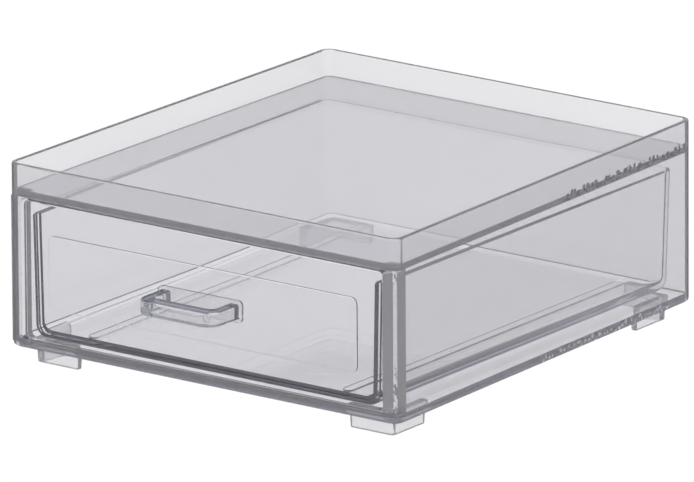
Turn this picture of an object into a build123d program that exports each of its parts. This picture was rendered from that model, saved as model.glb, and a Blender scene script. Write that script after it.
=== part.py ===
from build123d import *
import os

os.makedirs("parts", exist_ok=True)

# A clear stacking drawer for a desk: an open-fronted case with a raised rim and four feet, and a
# drawer that slides out of its front. Millimetres, +Z up, the drawer opens towards -Y. The origin is
# at the middle of the whole object's box, on the surface that the feet stand on.

# ---- driving dimensions ----
case_width = 260.0  # across the front; the side walls lean in towards the back
case_depth = 282.0
case_height = 103.0  # underside of the case to the top of the rim
side_lean = 6.5  # how far each side wall leans in over the depth, as mould draft
wall = 3.0
corner_radius = 7.0  # upright corners, outside
bottom_round = 2.4  # lower outer edge of the walls
rim_round = 1.1  # top edges of the rim
rim_height = 14.7  # above the top panel
panel_thickness = 3.7
floor_thickness = 5.0

foot_height = 10.0
foot_length = 29.5  # of each leg of the L, at the case
foot_wall = 4.6  # of each leg, at the case
foot_draft = 3.0  # degrees
foot_corner = 3.5
foot_end = 1.2  # rounding of the ends of the legs
foot_edge = 0.8
foot_inset = 10.0  # from the outside of the case to the outside of the L

opening_width = 240.8  # front opening of the case
opening_top = 84.6  # above the underside of the case
opening_corner = 3.0
post_depth = 10.0  # of the solid post down each side of the opening

front_gap = 0.6  # all round the drawer front, in its opening
front_setback = 1.5  # of the drawer front behind the face of the case
front_thickness = 3.0
front_top = 83.4  # above the underside of the case
front_bottom = 5.6
front_edge = 0.8
field_width = 206.0  # raised field on the drawer front
field_height = 42.0
field_middle = 45.3  # above the underside of the case
field_rise = 0.8
field_corner = 4.0
field_bevel = 0.5

tray_width = 231.8  # outside, at the top
tray_back_gap = 5.4  # behind the tray, inside the back wall
tray_top = 75.5  # above the underside of the case
tray_bottom = 6.4
tray_draft = 1.6  # each wall leans in by this much from its top to its foot
tray_wall = 3.0  # at the back
tray_mouth_wall = 4.4  # at the front
tray_floor = 4.6
tray_round = 8.0  # lower edges and back corners, outside
tray_setback = 3.2  # of its mouth behind the drawer front
tongue_wall = 1.6  # raised round the mouth and bonded to the drawer front
tongue_inset = 1.2  # from the outside of the tray
skid_width = 6.0
skid_spacing = 170.0
skid_gap = 0.2  # running clearance over the floor of the case

handle_width = 52.0
handle_reach = 25.0  # in front of the face of the case
handle_height = 8.6
handle_middle = 45.6  # above the underside of the case
handle_corner = 9.0
handle_bar = 9.5  # front bar, along Y
handle_arm = 6.5
handle_inner_corner = 3.0
handle_round = 1.4
flange_width = 56.0
flange_height = 12.4
flange_thickness = 1.5
flange_corner = 2.5

# ---- places that follow from them ----
y_front = handle_reach - (case_depth + handle_reach) / 2
y_back = y_front + case_depth
z_case = foot_height
z_rim = z_case + case_height
z_panel = z_rim - rim_height
z_floor = z_case + floor_thickness
y_plate = y_front + front_setback
y_plate_back = y_plate + front_thickness
y_field = y_plate - field_rise
y_flange = y_field - flange_thickness
y_tray_back = y_back - wall - tray_back_gap
z_tray = z_case + tray_bottom
z_tray_top = z_case + tray_top


def lean_at(y):
    """How far the side walls have come in at this place along the depth."""
    return side_lean * (y - y_front) / case_depth


def case_plan(inset):
    """Plan of the case, narrower at the back, with round corners, drawn in by inset."""
    front = case_width / 2
    back = front - side_lean
    with BuildSketch() as plan:
        with BuildLine():
            Polyline((-front, y_front), (front, y_front), (back, y_back), (-back, y_back), close=True)
        make_face()
        fillet(plan.vertices(), corner_radius)
        if inset > 0:
            offset(amount=-inset, mode=Mode.REPLACE)
    return plan.sketch


def finish(part, name):
    """Label one piece and write its STEP file."""
    part.label = name
    export_step(part, f"parts/{name}.step")


# ---- case ----
# Four walls in one piece, open above and below, with the drawer's opening cut through the front.
with BuildPart() as case_walls:
    with BuildSketch(Plane.XY.offset(z_case)):
        add(case_plan(0))
    extrude(amount=case_height)
    fillet(case_walls.edges().group_by(Axis.Z)[0], bottom_round)
    with BuildSketch(Plane.XY.offset(z_case)):
        add(case_plan(wall))
    extrude(amount=case_height, mode=Mode.SUBTRACT)
    rim_edges = case_walls.faces().sort_by(Axis.Z)[-1].edges()
    fillet(rim_edges, rim_round)
    post_width = case_width / 2 - wall / 2 - opening_width / 2
    post_middle = opening_width / 2 + post_width / 2
    with BuildSketch(Plane.XY.offset(z_floor)):
        with Locations((0, y_front + wall / 2 + (post_depth - wall / 2) / 2)):
            with GridLocations(2 * post_middle, 0, 2, 1):
                Rectangle(post_width, post_depth - wall / 2)
    extrude(amount=z_panel - panel_thickness - z_floor)
    opening_height = z_case + opening_top - z_floor
    with BuildSketch(Plane.XZ.offset(-y_front)):
        with Locations((0, z_floor + opening_height / 2)):
            RectangleRounded(opening_width, opening_height, opening_corner)
    extrude(amount=2 * post_depth, both=True, mode=Mode.SUBTRACT)
finish(case_walls.part, "case_walls")

# Two flat sheets bonded inside the walls: the top that the next unit stands on, and the floor.
with BuildPart() as top_panel:
    with BuildSketch(Plane.XY.offset(z_panel - panel_thickness)):
        add(case_plan(wall))
    extrude(amount=panel_thickness)
finish(top_panel.part, "top_panel")

with BuildPart() as floor_panel:
    with BuildSketch(Plane.XY.offset(z_case)):
        add(case_plan(wall))
    extrude(amount=floor_thickness)
finish(floor_panel.part, "floor_panel")

# Four L-shaped ribs under the corners, narrower at the foot, that drop inside the rim of a unit below.
foot_front_y = y_front + foot_inset
foot_back_y = y_back - foot_inset
foot_front_x = case_width / 2 - foot_inset
foot_back_x = case_width / 2 - side_lean - foot_inset
foot_corners = {
    "foot_front_left": (-foot_front_x, foot_front_y, 1, 1),
    "foot_front_right": (foot_front_x, foot_front_y, -1, 1),
    "foot_back_left": (-foot_back_x, foot_back_y, 1, -1),
    "foot_back_right": (foot_back_x, foot_back_y, -1, -1),
}
for foot_name, (corner_x, corner_y, inward_x, inward_y) in foot_corners.items():
    end_x = corner_x + inward_x * foot_length
    end_y = corner_y + inward_y * foot_length
    inner_x = corner_x + inward_x * foot_wall
    inner_y = corner_y + inward_y * foot_wall
    with BuildPart() as foot:
        with BuildSketch(Plane.XY.offset(z_case).rotated((180, 0, 0))) as foot_plan:
            with BuildLine():
                Polyline((corner_x, -corner_y), (end_x, -corner_y), (end_x, -inner_y),
                         (inner_x, -inner_y), (inner_x, -end_y), (corner_x, -end_y), close=True)
            make_face()
            near_corner = foot_plan.vertices().sort_by_distance((corner_x, corner_y, z_case))
            fillet(near_corner[0], foot_corner)
            ends = foot_plan.vertices().filter_by(
                lambda spot: abs(spot.Y - end_y) < 0.01 or abs(spot.X - end_x) < 0.01)
            fillet(ends, foot_end)
        extrude(amount=foot_height, taper=foot_draft)
        fillet(foot.faces().sort_by(Axis.Z)[0].edges(), foot_edge)
    finish(foot.part, foot_name)

# ---- drawer ----
def tray_block(front_side, back_side, y_end, bottom, radius, y_start):
    """A drafted box open to -Y at y_start, with its back corners and lower edges rounded."""
    draft = tray_draft * (z_tray_top - bottom) / (z_tray_top - z_tray)
    front = tray_width / 2 - front_side
    rear = tray_width / 2 - back_side
    with BuildPart() as block:
        for height, lean in ((bottom, draft), (z_tray_top, 0)):
            with BuildSketch(Plane.XY.offset(height)):
                with BuildLine():
                    Polyline((-front + lean, y_start), (front - lean, y_start),
                             (rear - lean, y_end - lean), (-rear + lean, y_end - lean), close=True)
                make_face()
        loft(ruled=True)
        bottom_edges = block.faces().sort_by(Axis.Z)[0].edges().sort_by(Axis.Y)[1:]
        back_edges = block.faces().sort_by(Axis.Y)[-1].edges().sort_by(Axis.X)
        fillet(bottom_edges + [back_edges[0], back_edges[-1]], radius)
    return block.part


# A tray of floor, sides and back. A thin tongue round its mouth is bonded to the drawer front.
y_mouth = y_plate_back + tray_setback
tray_outside = tray_block(0, 0, y_tray_back, z_tray, tray_round, y_mouth)
tray_inside = tray_block(tray_mouth_wall, tray_wall, y_tray_back - tray_wall, z_tray + tray_floor,
                         tray_round - tray_wall, y_mouth)
tongue_outside = tray_block(tongue_inset, tongue_inset, y_tray_back, z_tray + tongue_inset,
                            tray_round - tongue_inset, y_plate_back)
tongue_cut = tongue_inset + tongue_wall
tongue_inside = tray_block(tongue_cut, tongue_cut, y_tray_back, z_tray + tongue_cut,
                           tray_round - tongue_cut, y_plate_back)
with BuildPart() as drawer_tray:
    add(tongue_outside)
    add(tongue_inside, mode=Mode.SUBTRACT)
    split(bisect_by=Plane.XZ.offset(-y_mouth), keep=Keep.TOP)
    add(tray_outside)
    add(tray_inside, mode=Mode.SUBTRACT)
    skid_height = z_tray - z_floor - skid_gap
    skid_length = y_tray_back - y_mouth - 2 * tray_round
    skid_middle = (y_tray_back + y_mouth) / 2
    with BuildSketch(Plane.XY.offset(z_tray - skid_height)):
        with Locations((0, skid_middle)):
            with GridLocations(skid_spacing, 0, 2, 1):
                SlotOverall(skid_length, skid_width, rotation=90)
    extrude(amount=skid_height + tray_floor / 2)
finish(drawer_tray.part, "drawer_tray")

# The plate that closes the opening, with a shallow raised field.
with BuildPart() as drawer_front:
    plate_width = opening_width - 2 * front_gap
    plate_height = front_top - front_bottom
    plate_middle = z_case + (front_top + front_bottom) / 2
    with BuildSketch(Plane.XZ.offset(-y_plate_back)):
        with Locations((0, plate_middle)):
            RectangleRounded(plate_width, plate_height, opening_corner)
    extrude(amount=front_thickness)
    fillet(drawer_front.faces().sort_by(Axis.Y)[0].edges(), front_edge)
    with BuildSketch(Plane.XZ.offset(-y_plate)):
        with Locations((0, z_case + field_middle)):
            RectangleRounded(field_width, field_height, field_corner)
    extrude(amount=field_rise)
    chamfer(drawer_front.faces().sort_by(Axis.Y)[0].edges(), field_bevel)
finish(drawer_front.part, "drawer_front")

# A level loop pull: a front bar and two arms on a thin flange, open from above and below.
with BuildPart() as drawer_handle:
    z_handle = z_case + handle_middle
    reach = y_flange - (y_front - handle_reach)
    loop_middle = y_flange - reach / 2
    with BuildSketch(Plane.XY.offset(z_handle - handle_height / 2)) as loop_plan:
        with Locations((0, loop_middle)):
            Rectangle(handle_width, reach)
        fillet(loop_plan.vertices().group_by(Axis.Y)[0], handle_corner)
        gap_depth = reach - handle_bar
        with BuildSketch(mode=Mode.PRIVATE) as gap_plan:
            with Locations((0, y_flange - gap_depth / 2)):
                Rectangle(handle_width - 2 * handle_arm, gap_depth)
            fillet(gap_plan.vertices().group_by(Axis.Y)[0], handle_inner_corner)
        add(gap_plan.sketch, mode=Mode.SUBTRACT)
    extrude(amount=handle_height)
    loop_edges = drawer_handle.faces().filter_by(Axis.Z).edges()
    fillet(loop_edges.filter_by(lambda edge: edge.center().Y < y_flange - 0.1), handle_round)
    with BuildSketch(Plane.XZ.offset(-y_field)):
        with Locations((0, z_handle)):
            RectangleRounded(flange_width, flange_height, flange_corner)
    extrude(amount=flange_thickness)
finish(drawer_handle.part, "drawer_handle")
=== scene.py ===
import math

import bmesh
import bpy
import numpy as np
from mathutils import Matrix, Vector


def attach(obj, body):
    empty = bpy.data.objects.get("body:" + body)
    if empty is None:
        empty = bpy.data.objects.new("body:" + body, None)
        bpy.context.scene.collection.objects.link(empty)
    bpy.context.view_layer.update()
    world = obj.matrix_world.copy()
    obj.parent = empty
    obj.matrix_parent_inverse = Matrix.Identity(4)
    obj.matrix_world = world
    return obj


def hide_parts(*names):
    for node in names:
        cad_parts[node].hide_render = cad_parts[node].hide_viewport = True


# A clear desk organizer: an open-fronted case with a raised rim, two bonded sheets and four L-shaped
# feet, and a drawer with a loop pull that slides out towards -Y. Metres, +Z up, feet on z = 0.
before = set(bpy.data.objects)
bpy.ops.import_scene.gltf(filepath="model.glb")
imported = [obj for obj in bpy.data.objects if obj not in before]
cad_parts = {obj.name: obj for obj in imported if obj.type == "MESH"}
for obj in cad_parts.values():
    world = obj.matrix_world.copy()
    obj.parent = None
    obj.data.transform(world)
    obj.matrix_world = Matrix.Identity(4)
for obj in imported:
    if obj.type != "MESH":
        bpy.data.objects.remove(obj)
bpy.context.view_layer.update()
print("frame loaded:", ", ".join(sorted(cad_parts)))

mm = 0.001
yFront = -128.5 * mm  # face of the case
yBack = 153.5 * mm
bondGap = 0.04 * mm  # air left between bonded pieces, as a solvent bond shows
joint = 0.03 * mm  # pieces that are fused run this far into each other


# Counter-clockwise corners drawn in by inset, each rounded; a hollow corner's radius grows
def softOutline(corners, radii, inset=0.0, steps=8):
    points = []
    count = len(corners)
    smallest = 0.05 * mm
    for index in range(count):
        before, here, after = (Vector(corners[k % count]) for k in (index - 1, index, index + 1))
        into = (here - before).normalized()
        out = (after - here).normalized()
        sideIn = Vector((-into.y, into.x))
        sideOut = Vector((-out.y, out.x))
        spot = here + (sideIn + sideOut) * (inset / (1 + sideIn.dot(sideOut)))
        turn = math.atan2(into.x * out.y - into.y * out.x, into.dot(out))
        radius = max(radii[index] - math.copysign(inset, turn), smallest)
        centre = spot - into * radius * math.tan(abs(turn) / 2) + sideIn * math.copysign(radius, turn)
        start = math.atan2(-sideIn.y, -sideIn.x) + (0 if turn > 0 else math.pi)
        for step in range(steps + 1):
            angle = start + turn * step / steps
            points.append((centre.x + radius * math.cos(angle), centre.y + radius * math.sin(angle)))
    return points


# A closed mesh through a stack of (outline, level); upright stacks run along Y instead of Z
def stackOutlines(name, rings, loop=False, upright=False):
    work = bmesh.new()
    rows = []
    for outline, level in rings:
        if upright:
            rows.append([work.verts.new((x, level, z)) for x, z in outline])
        else:
            rows.append([work.verts.new((x, y, level)) for x, y in outline])
    size = len(rows[0])
    for k in range(len(rows) if loop else len(rows) - 1):
        low, high = rows[k], rows[(k + 1) % len(rows)]
        for i in range(size):
            j = (i + 1) % size
            work.faces.new((low[i], low[j], high[j], high[i]))
    if not loop:
        work.faces.new(rows[0][::-1])
        work.faces.new(rows[-1])
    bmesh.ops.remove_doubles(work, verts=work.verts, dist=1e-7)
    bmesh.ops.recalc_face_normals(work, faces=work.faces)
    mesh = bpy.data.meshes.new(name)
    work.to_mesh(mesh)
    work.free()
    piece = bpy.data.objects.new(name, mesh)
    bpy.context.collection.objects.link(piece)
    return piece


# (inset, rise) pairs round a quarter circle, from the flat end to the upright side
def quarter(radius, steps=5):
    angles = [math.pi / 2 * k / steps for k in range(steps + 1)]
    return [(radius * (1 - math.sin(a)), radius * (1 - math.cos(a))) for a in angles]


# Applies every modifier on a piece to its mesh
def bake(piece):
    depsgraph = bpy.context.evaluated_depsgraph_get()
    mesh = bpy.data.meshes.new_from_object(piece.evaluated_get(depsgraph))
    piece.modifiers.clear()
    piece.data = mesh
    mesh.name = piece.name


# Joins or cuts a piece with another mesh, which is then removed
def combine(piece, other, operation):
    cut = piece.modifiers.new("combine", "BOOLEAN")
    cut.operation = operation
    cut.object = other
    cut.solver = "EXACT"
    bake(piece)
    bpy.data.objects.remove(other)


# Smooth rounds beside flat faces that stay flat
def smoothRounds(piece, angle=28):
    mesh = piece.data
    for face in mesh.polygons:
        face.use_smooth = True
    mesh.set_sharp_from_angle(angle=math.radians(angle))
    weighted = piece.modifiers.new("weighted", "WEIGHTED_NORMAL")
    weighted.keep_sharp = True
    weighted.weight = 100
    bake(piece)


# Moves every face of a closed mesh in by gap and keeps flat faces flat
def drawIn(mesh, gap):
    work = bmesh.new()
    work.from_mesh(mesh)
    work.normal_update()
    moves = []
    for vertex in work.verts:
        normals = []
        for face in vertex.link_faces:
            if all(face.normal.dot(other) < 0.999 for other in normals):
                normals.append(face.normal.copy())
        rows = np.array([list(normal) for normal in normals])
        step, *_ = np.linalg.lstsq(rows, -gap * np.ones(len(rows)), rcond=0.05)
        moves.append(Vector(step))
    for vertex, move in zip(work.verts, moves):
        vertex.co += move
    work.to_mesh(mesh)
    work.free()


# A merged copy of a CAD mesh, drawn in by gap
def mergedCopy(target, name, gap):
    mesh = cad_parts[target].data.copy()
    work = bmesh.new()
    work.from_mesh(mesh)
    bmesh.ops.remove_doubles(work, verts=work.verts, dist=1e-6)
    bmesh.ops.dissolve_limit(work, angle_limit=math.radians(0.05), verts=work.verts, edges=work.edges)
    work.to_mesh(mesh)
    work.free()
    piece = bpy.data.objects.new(name, mesh)
    bpy.context.collection.objects.link(piece)
    drawIn(mesh, gap)
    return piece


# Gives a finished piece its material, its body and its slot, and hides the CAD node it stands for
def place(piece, body, material, target):
    piece.data.materials.clear()
    piece.data.materials.append(material)
    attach(piece, body)
    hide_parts(target)


plastic = {
    "edgeColour": (0.62, 0.62, 0.72),  # what is left after a long way through the plastic
    "roughness": 0.008,
    "hairline": 0.04,
    "smudge": 0.02,
    "wave": 0.2,
}
# tint, share of the surface that scatters, absorption per metre, refraction
grades = {
    "clearWalls": ((0.925, 0.92, 0.935), 0.12, 12.0, 1.49),
    "clearTop": ((0.925, 0.918, 0.932), 0.13, 20.0, 1.49),
    "clearFloor": ((0.99, 0.99, 0.995), 0.02, 12.0, 1.49),
    "clearFeet": ((0.90, 0.90, 0.915), 0.22, 14.0, 1.49),
    "clearTray": ((1.0, 1.0, 1.0), 0.0, 11.0, 1.17),
    "clearFront": ((0.99, 0.99, 0.995), 0.03, 14.0, 1.49),
    "bondEdge": ((0.42, 0.42, 0.50), 0.30, 60.0, 1.49),  # cut edge wetted by the bond
    "bondBead": ((0.40, 0.40, 0.47), 0.45, 60.0, 1.49),  # glue squeezed along the top sheet's bond
    "bondAir": ((0.97, 0.97, 0.98), 0.75, 5.0, 1.49),  # air trapped along the floor's bond
    # painted shade: a darker grade for the handle bar's top faces, standing in for the dark band refraction
    # shows there
    "paintedShadeHandleTop": ((0.62, 0.62, 0.68), 0.12, 20.0, 1.49),
    "clearHandle": ((0.985, 0.985, 0.99), 0.06, 20.0, 1.49),
}


# A node with its sockets set by name
def node(tree, kind, **values):
    made = tree.nodes.new(kind)
    for socket, value in values.items():
        made.inputs[socket].default_value = value
    return made


# Handling marks on moulded plastic: hairlines, smudges and a slow wave in the sheet
def wearGroup():
    group = bpy.data.node_groups.new("handlingMarks", "ShaderNodeTree")
    for name, value in (("Hairline", 1.0), ("Smudge", 1.0), ("Wave", 1.0)):
        socket = group.interface.new_socket(name, in_out="INPUT", socket_type="NodeSocketFloat")
        socket.default_value = value
    group.interface.new_socket("Roughness", in_out="OUTPUT", socket_type="NodeSocketFloat")
    group.interface.new_socket("Normal", in_out="OUTPUT", socket_type="NodeSocketVector")
    entry = group.nodes.new("NodeGroupInput")
    result = group.nodes.new("NodeGroupOutput")
    link = group.links.new
    where = group.nodes.new("ShaderNodeTexCoord").outputs["Object"]

    turned = node(group, "ShaderNodeMapping", Rotation=(0.35, 0.5, 0.7), Scale=(9, 520, 420))
    hairs = node(group, "ShaderNodeTexNoise", Scale=1.0, Detail=2.0, Roughness=0.6)
    thin = node(group, "ShaderNodeMapRange")
    thin.inputs["From Min"].default_value = 0.66
    thin.inputs["From Max"].default_value = 0.74
    hairlines = node(group, "ShaderNodeMath")
    hairlines.operation = "MULTIPLY"
    link(where, turned.inputs["Vector"])
    link(turned.outputs["Vector"], hairs.inputs["Vector"])
    link(hairs.outputs["Fac"], thin.inputs["Value"])
    link(thin.outputs["Result"], hairlines.inputs[0])
    link(entry.outputs["Hairline"], hairlines.inputs[1])

    patches = node(group, "ShaderNodeTexNoise", Scale=16.0, Detail=5.0, Roughness=0.62, Distortion=0.8)
    spread = node(group, "ShaderNodeMapRange")
    spread.inputs["From Min"].default_value = 0.45
    spread.inputs["From Max"].default_value = 0.75
    smudges = node(group, "ShaderNodeMath")
    smudges.operation = "MULTIPLY"
    link(where, patches.inputs["Vector"])
    link(patches.outputs["Fac"], spread.inputs["Value"])
    link(spread.outputs["Result"], smudges.inputs[0])
    link(entry.outputs["Smudge"], smudges.inputs[1])

    rough = node(group, "ShaderNodeMath")
    rough.operation = "MULTIPLY_ADD"
    rough.inputs[1].default_value = 0.05
    link(smudges.outputs["Value"], rough.inputs[0])
    link(hairlines.outputs["Value"], rough.inputs[2])
    link(rough.outputs["Value"], result.inputs["Roughness"])

    swell = node(group, "ShaderNodeTexNoise", Scale=34.0, Detail=1.0)
    slow = node(group, "ShaderNodeBump", Distance=0.04 * mm)
    fine = node(group, "ShaderNodeBump", Distance=0.004 * mm, Strength=0.6)
    link(where, swell.inputs["Vector"])
    link(swell.outputs["Fac"], slow.inputs["Height"])
    link(entry.outputs["Wave"], slow.inputs["Strength"])
    link(hairlines.outputs["Value"], fine.inputs["Height"])
    link(slow.outputs["Normal"], fine.inputs["Normal"])
    link(fine.outputs["Normal"], result.inputs["Normal"])
    return group


marks = wearGroup()


# Clear plastic of one grade: tinted, a little hazy, worn, and darker the further light runs inside
def clearPlastic(name):
    tint, haze, density, refraction = grades[name]
    material = bpy.data.materials.new(name)
    material.use_nodes = True
    tree = material.node_tree
    tree.nodes.clear()
    output = tree.nodes.new("ShaderNodeOutputMaterial")
    surface = tree.nodes.new("ShaderNodeBsdfPrincipled")
    surface.inputs["Base Color"].default_value = (*tint, 1)
    surface.inputs["IOR"].default_value = refraction
    surface.inputs["Transmission Weight"].default_value = 1 - haze
    wear = tree.nodes.new("ShaderNodeGroup")
    wear.node_tree = marks
    wear.inputs["Hairline"].default_value = plastic["hairline"]
    wear.inputs["Smudge"].default_value = plastic["smudge"]
    wear.inputs["Wave"].default_value = plastic["wave"]
    rough = node(tree, "ShaderNodeMath")
    rough.operation = "ADD"
    rough.inputs[1].default_value = plastic["roughness"]
    inside = node(tree, "ShaderNodeVolumeAbsorption", Color=(*plastic["edgeColour"], 1), Density=density)
    tree.links.new(wear.outputs["Roughness"], rough.inputs[0])
    tree.links.new(rough.outputs["Value"], surface.inputs["Roughness"])
    tree.links.new(wear.outputs["Normal"], surface.inputs["Normal"])
    tree.links.new(surface.outputs["BSDF"], output.inputs["Surface"])
    tree.links.new(inside.outputs["Volume"], output.inputs["Volume"])
    return material


clearWalls, clearTop, clearFloor, clearFeet, clearTray, clearFront = map(clearPlastic, list(grades)[:6])
bondEdge, bondBead, bondAir, paintedShadeHandleTop, clearHandle = map(clearPlastic, list(grades)[6:])
print("materials made")

case = {
    "width": 260 * mm, "lean": 6.5 * mm, "wall": 3 * mm, "corner": 7 * mm,
    "bottom": 10 * mm, "rim": 113 * mm, "bottomRound": 2.4 * mm, "rimRound": 1.1 * mm,
    "panelTop": 98.3 * mm, "panelThickness": 3.7 * mm, "floorThickness": 5 * mm,
    "openingWidth": 240.8 * mm, "openingTop": 94.6 * mm, "openingCorner": 3 * mm,
    "openingEdge": 0.35 * mm, "postInside": 118 * mm, "postOutside": 128.2 * mm,
    "postFace": 1.5 * mm, "postDepth": 10 * mm, "postFoot": 3 * mm, "sheetEdge": 0.25 * mm,
}


# The case from above, narrower to the back, drawn in by inset
def casePlan(inset):
    front = case["width"] / 2
    back = front - case["lean"]
    corners = [(-front, yFront), (front, yFront), (back, yBack), (-back, yBack)]
    return softOutline(corners, [case["corner"]] * 4, inset, 12)


# A rounded rectangle seen from the front
def uprightRectangle(width, low, high, corner, grow=0.0):
    corners = [(-width / 2, low), (width / 2, low), (width / 2, high), (-width / 2, high)]
    return softOutline(corners, [corner] * 4, -grow, 8)


rings = [(casePlan(inset), case["bottom"] + rise) for inset, rise in quarter(case["bottomRound"], 6)]
rimRound = quarter(case["rimRound"], 5)
rings += [(casePlan(inset), case["rim"] - rise) for inset, rise in rimRound[::-1]]
rings += [(casePlan(case["wall"] - inset), case["rim"] - rise) for inset, rise in rimRound]
rings += [(casePlan(case["wall"]), case["bottom"])]
caseWalls = stackOutlines("caseWalls", rings, loop=True)
floorTop = case["bottom"] + case["floorThickness"]
panelUnder = case["panelTop"] - case["panelThickness"]
for side in (-1, 1):
    near, far = sorted((side * case["postInside"], side * case["postOutside"]))
    postFront, postBack = yFront + case["postFace"], yFront + case["postDepth"]
    corners = [(near, postFront), (far, postFront), (far, postBack), (near, postBack)]
    outline = softOutline(corners, [0.05 * mm] * 4, 0, 1)
    post = stackOutlines("post", [(outline, case["bottom"] + case["postFoot"]), (outline, panelUnder)])
    combine(caseWalls, post, "UNION")
# The opening widens a little at its front edge, which rounds it
opening = [(yFront - 1 * mm, case["openingEdge"] + 1 * mm), (yFront, case["openingEdge"]),
           (yFront + 0.3 * case["openingEdge"], 0.3 * case["openingEdge"]),
           (yFront + case["openingEdge"], 0), (yFront + 2 * case["postDepth"], 0)]
rings = []
for y, grow in opening:
    rings.append((uprightRectangle(case["openingWidth"], floorTop, case["openingTop"],
                                   case["openingCorner"], grow), y))
combine(caseWalls, stackOutlines("cutter", rings, upright=True), "DIFFERENCE")
smoothRounds(caseWalls)
place(caseWalls, "case", clearWalls, "case_walls")

inside = case["wall"] + bondGap
eased = inside + case["sheetEdge"]
for name, target, low, high, material in (
        ("topPanel", "top_panel", panelUnder, case["panelTop"], clearTop),
        ("floorPanel", "floor_panel", case["bottom"], floorTop, clearFloor)):
    rings = [(casePlan(eased), low), (casePlan(inside), low + case["sheetEdge"]),
             (casePlan(inside), high - case["sheetEdge"]), (casePlan(eased), high)]
    sheet = stackOutlines(name, rings)
    smoothRounds(sheet)
    place(sheet, "case", material, target)

foot = {"length": 29.5 * mm, "wall": 4.6 * mm, "inset": 10 * mm, "height": 10 * mm,
        "draft": math.tan(math.radians(3)), "corner": 3.5 * mm, "end": 1.2 * mm, "hollow": 0.6 * mm,
        "edge": 0.8 * mm}
frontX = case["width"] / 2 - foot["inset"]
backX = frontX - case["lean"]
for name, target, x, y, toX, toY in (
        ("footFrontLeft", "foot_front_left", -frontX, yFront + foot["inset"], 1, 1),
        ("footFrontRight", "foot_front_right", frontX, yFront + foot["inset"], -1, 1),
        ("footBackLeft", "foot_back_left", -backX, yBack - foot["inset"], 1, -1),
        ("footBackRight", "foot_back_right", backX, yBack - foot["inset"], -1, -1)):
    endX, endY = x + toX * foot["length"], y + toY * foot["length"]
    innerX, innerY = x + toX * foot["wall"], y + toY * foot["wall"]
    corners = [(x, y), (endX, y), (endX, innerY), (innerX, innerY), (innerX, endY), (x, endY)]
    radii = [foot["corner"], foot["end"], foot["end"], foot["hollow"], foot["end"], foot["end"]]
    if toX * toY < 0:
        corners, radii = corners[::-1], radii[::-1]
    rings = [(softOutline(corners, radii, foot["draft"] * foot["height"] + inset, 6), rise)
             for inset, rise in quarter(foot["edge"], 4)]
    rings += [(softOutline(corners, radii, 0, 6), foot["height"] + joint)]
    piece = stackOutlines(name, rings)
    smoothRounds(piece)
    place(piece, "case", clearFeet, target)
print("case made")

beads = {
    "radius": 1.7 * mm, "intoWall": 0.9 * mm,
    "panelFrom": 30 * mm, "panelTo": 148 * mm, "panelRise": 3 * mm, "panelJitter": 2.2 * mm,
    "panelSpacing": 1.5 * mm, "panelSeed": 4,
    "floorFrom": 10 * mm, "floorTo": 128 * mm, "floorRise": 2.6 * mm, "floorJitter": 1.5 * mm,
    "floorSpacing": 3.2 * mm, "floorSeed": 9,
}


# Scatters flattened drops along a path: path, spacing, radius, seed and material come in
def beadGroup():
    group = bpy.data.node_groups.new("bondBeads", "GeometryNodeTree")
    for name, kind in (("Geometry", "NodeSocketGeometry"), ("Spacing", "NodeSocketFloat"),
                       ("Radius", "NodeSocketFloat"), ("Jitter", "NodeSocketFloat"),
                       ("Seed", "NodeSocketInt"), ("Material", "NodeSocketMaterial")):
        group.interface.new_socket(name, in_out="INPUT", socket_type=kind)
    group.interface.new_socket("Geometry", in_out="OUTPUT", socket_type="NodeSocketGeometry")
    entry = group.nodes.new("NodeGroupInput")
    result = group.nodes.new("NodeGroupOutput")
    link = group.links.new
    curve = group.nodes.new("GeometryNodeMeshToCurve")
    stops = group.nodes.new("GeometryNodeCurveToPoints")
    stops.mode = "LENGTH"
    drop = node(group, "GeometryNodeMeshIcoSphere", Radius=1.0, Subdivisions=3)
    copies = group.nodes.new("GeometryNodeInstanceOnPoints")
    shift = group.nodes.new("GeometryNodeSetPosition")
    offsets = group.nodes.new("FunctionNodeRandomValue")
    offsets.data_type = "FLOAT_VECTOR"
    offsets.inputs["Min"].default_value = (-0.1, -1, -1)
    offsets.inputs["Max"].default_value = (0.1, 1, 1)
    spread = group.nodes.new("ShaderNodeVectorMath")
    spread.operation = "SCALE"
    sizes = group.nodes.new("FunctionNodeRandomValue")
    sizes.data_type = "FLOAT_VECTOR"
    sizes.inputs["Min"].default_value = (0.25, 0.3, 0.25)
    sizes.inputs["Max"].default_value = (0.5, 0.95, 0.8)
    scale = group.nodes.new("ShaderNodeVectorMath")
    scale.operation = "SCALE"
    real = group.nodes.new("GeometryNodeRealizeInstances")
    smooth = group.nodes.new("GeometryNodeSetShadeSmooth")
    paint = group.nodes.new("GeometryNodeSetMaterial")
    link(entry.outputs["Geometry"], curve.inputs["Mesh"])
    link(curve.outputs["Curve"], stops.inputs["Curve"])
    link(entry.outputs["Spacing"], stops.inputs["Length"])
    link(stops.outputs["Points"], shift.inputs["Geometry"])
    link(entry.outputs["Seed"], offsets.inputs["Seed"])
    link(entry.outputs["Seed"], sizes.inputs["Seed"])
    link(offsets.outputs["Value"], spread.inputs[0])
    link(entry.outputs["Jitter"], spread.inputs["Scale"])
    link(spread.outputs["Vector"], shift.inputs["Offset"])
    link(shift.outputs["Geometry"], copies.inputs["Points"])
    link(drop.outputs["Mesh"], copies.inputs["Instance"])
    link(sizes.outputs["Value"], scale.inputs[0])
    link(entry.outputs["Radius"], scale.inputs["Scale"])
    link(scale.outputs["Vector"], copies.inputs["Scale"])
    link(copies.outputs["Instances"], real.inputs["Geometry"])
    link(real.outputs["Geometry"], smooth.inputs["Geometry"])
    link(smooth.outputs["Geometry"], paint.inputs["Geometry"])
    link(entry.outputs["Material"], paint.inputs["Material"])
    link(paint.outputs["Geometry"], result.inputs["Geometry"])
    return group


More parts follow.
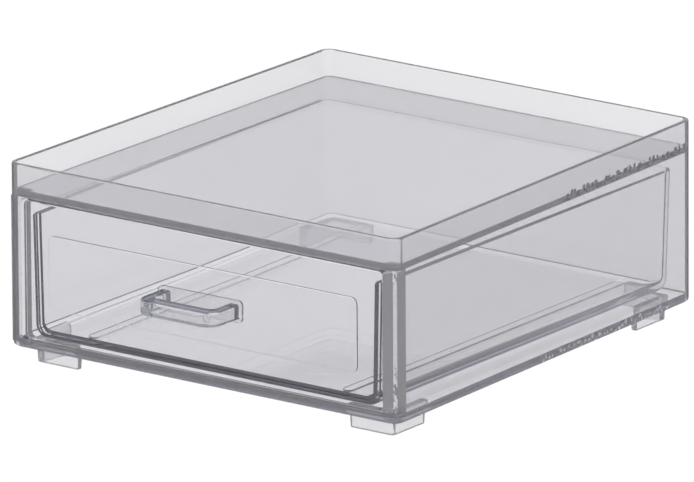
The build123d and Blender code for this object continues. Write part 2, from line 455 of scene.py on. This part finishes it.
# Where the inside of the right wall stands at a depth
def wallInside(y):
    lean = case["lean"] * (y - yFront) / (yBack - yFront)
    return case["width"] / 2 - lean - case["wall"]


drops = beadGroup()
for part, bottom, material in (("panel", panelUnder, bondBead), ("floor", case["bottom"], bondAir)):
    level = bottom + beads[part + "Rise"]
    ends = [(wallInside(y) + beads["intoWall"], y, level) for y in (beads[part + "From"], beads[part + "To"])]
    mesh = bpy.data.meshes.new(part + "Beads")
    mesh.from_pydata(ends, [(0, 1)], [])
    piece = bpy.data.objects.new(part + "Beads", mesh)
    bpy.context.collection.objects.link(piece)
    scatter = piece.modifiers.new("beads", "NODES")
    scatter.node_group = drops
    values = {"Spacing": beads[part + "Spacing"], "Radius": beads["radius"], "Jitter": beads[part + "Jitter"],
              "Seed": beads[part + "Seed"], "Material": material}
    for socket in drops.interface.items_tree:
        if socket.in_out == "INPUT" and socket.name in values:
            scatter[socket.identifier] = values[socket.name]
    bake(piece)
    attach(piece, "case")
print("beads made")

tray = mergedCopy("drawer_tray", "drawerTray", bondGap)
smoothRounds(tray)
place(tray, "drawer", clearTray, "drawer_tray")
tray.data.materials.append(bondEdge)
# The mouth's cut edge faces forward, low down and foremost
facing = [face for face in tray.data.polygons if face.normal.y < -0.9]
mouth = min(face.center.y for face in facing if face.center.z < 20 * mm)
for face in facing:
    if face.center.y < mouth + 1 * mm:
        face.material_index = 1

plate = {"width": 239.6 * mm, "low": 15.6 * mm, "high": 93.4 * mm, "corner": 3 * mm, "face": -127 * mm,
         "back": -124 * mm, "edge": 0.8 * mm, "backEdge": 0.3 * mm}
field = {"width": 206 * mm, "low": 34.3 * mm, "high": 76.3 * mm, "corner": 4 * mm, "rise": 0.8 * mm,
         "edge": 0.78 * mm}


def frontOutline(sizes, grow=0.0):
    return uprightRectangle(sizes["width"], sizes["low"], sizes["high"], sizes["corner"], grow)


rings = [(frontOutline(plate, -plate["backEdge"]), plate["back"]),
         (frontOutline(plate), plate["back"] - plate["backEdge"])]
for inset, rise in quarter(plate["edge"], 4)[::-1]:
    rings.append((frontOutline(plate, -inset), plate["face"] + rise))
rings.append((frontOutline(field, 0.1 * mm), plate["face"]))
for inset, rise in quarter(field["edge"], 4)[::-1]:
    rings.append((frontOutline(field, -inset), plate["face"] - field["rise"] + rise))
front = stackOutlines("drawerFront", rings, upright=True)
smoothRounds(front)
place(front, "drawer", clearFront, "drawer_front")

pull = {"bar": -135 * mm}  # the bar lies in front of this
handle = mergedCopy("drawer_handle", "drawerHandle", bondGap)
smoothRounds(handle)
place(handle, "drawer", clearHandle, "drawer_handle")
# The bar's upward faces take the darker grade, a painted shade for the dark band the bar's top shows
handle.data.materials.append(paintedShadeHandleTop)
for face in handle.data.polygons:
    if face.normal.z > 0.9 and face.center.y < pull["bar"]:
        face.material_index = 1
print("drawer made")

# The floor shines evenly, dimmer to rays that have reflected, so cut edges go dark
studio = {"floor": 1.02, "floorReflected": 0.17, "floorReach": 8.0, "floorDrop": 0.3 * mm,
          "horizon": 1.0, "zenith": 0.5, "zenithHeight": 0.9, "sky": (0.97, 0.97, 1.0)}
reach, drop = studio["floorReach"], -studio["floorDrop"]
floorCorners = [(-reach, -reach, drop), (reach, -reach, drop), (reach, reach, drop), (-reach, reach, drop)]
floorMesh = bpy.data.meshes.new("floor")
floorMesh.from_pydata(floorCorners, [], [(0, 1, 2, 3)])
floor = bpy.data.objects.new("floor", floorMesh)
bpy.context.collection.objects.link(floor)
paleFloor = bpy.data.materials.new("paleFloor")
paleFloor.use_nodes = True
tree = paleFloor.node_tree
tree.nodes.clear()
output = tree.nodes.new("ShaderNodeOutputMaterial")
glow = tree.nodes.new("ShaderNodeEmission")
path = tree.nodes.new("ShaderNodeLightPath")
dim = tree.nodes.new("ShaderNodeMapRange")
dim.inputs["To Min"].default_value = studio["floor"]
dim.inputs["To Max"].default_value = studio["floorReflected"]
tree.links.new(path.outputs["Glossy Depth"], dim.inputs["Value"])
tree.links.new(dim.outputs["Result"], glow.inputs["Strength"])
tree.links.new(glow.outputs["Emission"], output.inputs["Surface"])
floorMesh.materials.append(paleFloor)

scene = bpy.context.scene
world = bpy.data.worlds.new("studio")
scene.world = world
world.use_nodes = True
tree = world.node_tree
background = tree.nodes["Background"]
direction = tree.nodes.new("ShaderNodeTexCoord")
split = tree.nodes.new("ShaderNodeSeparateXYZ")
shade = tree.nodes.new("ShaderNodeMapRange")
shade.inputs["From Min"].default_value = 0.0
shade.inputs["From Max"].default_value = studio["zenithHeight"]
shade.inputs["To Min"].default_value = studio["horizon"]
shade.inputs["To Max"].default_value = studio["zenith"]
tree.links.new(direction.outputs["Generated"], split.inputs["Vector"])
tree.links.new(split.outputs["Z"], shade.inputs["Value"])
tree.links.new(shade.outputs["Result"], background.inputs["Strength"])
background.inputs["Color"].default_value = (*studio["sky"], 1)

view = {"azimuth": 36.40, "elevation": 16.44, "roll": -0.383, "distance": 9.0, "lens": 864.1,
        "target": (0.0016, 0.0015, 0.0595)}
azimuth, elevation, roll = (math.radians(view[k]) for k in ("azimuth", "elevation", "roll"))
away = Vector((math.sin(azimuth) * math.cos(elevation), -math.cos(azimuth) * math.cos(elevation),
               math.sin(elevation)))
across = Vector((0, 0, 1)).cross(away).normalized()
upward = away.cross(across)
tiltedAcross = across * math.cos(roll) + upward * math.sin(roll)
tiltedUpward = upward * math.cos(roll) - across * math.sin(roll)
spot = Vector(view["target"]) + away * view["distance"]
cameraData = bpy.data.cameras.new("camera")
cameraData.lens = view["lens"]
cameraData.sensor_width = 36
cameraData.clip_start = 0.1
cameraData.clip_end = 200
camera = bpy.data.objects.new("camera", cameraData)
bpy.context.collection.objects.link(camera)
camera.matrix_world = Matrix((
    (tiltedAcross.x, tiltedUpward.x, away.x, spot.x),
    (tiltedAcross.y, tiltedUpward.y, away.y, spot.y),
    (tiltedAcross.z, tiltedUpward.z, away.z, spot.z),
    (0, 0, 0, 1)))
scene.camera = camera
scene.view_settings.view_transform = "Standard"
scene.cycles.max_bounces = 24
scene.cycles.transmission_bounces = 24
scene.cycles.glossy_bounces = 16
scene.cycles.diffuse_bounces = 3
scene.cycles.blur_glossy = 0.0
print("studio made")
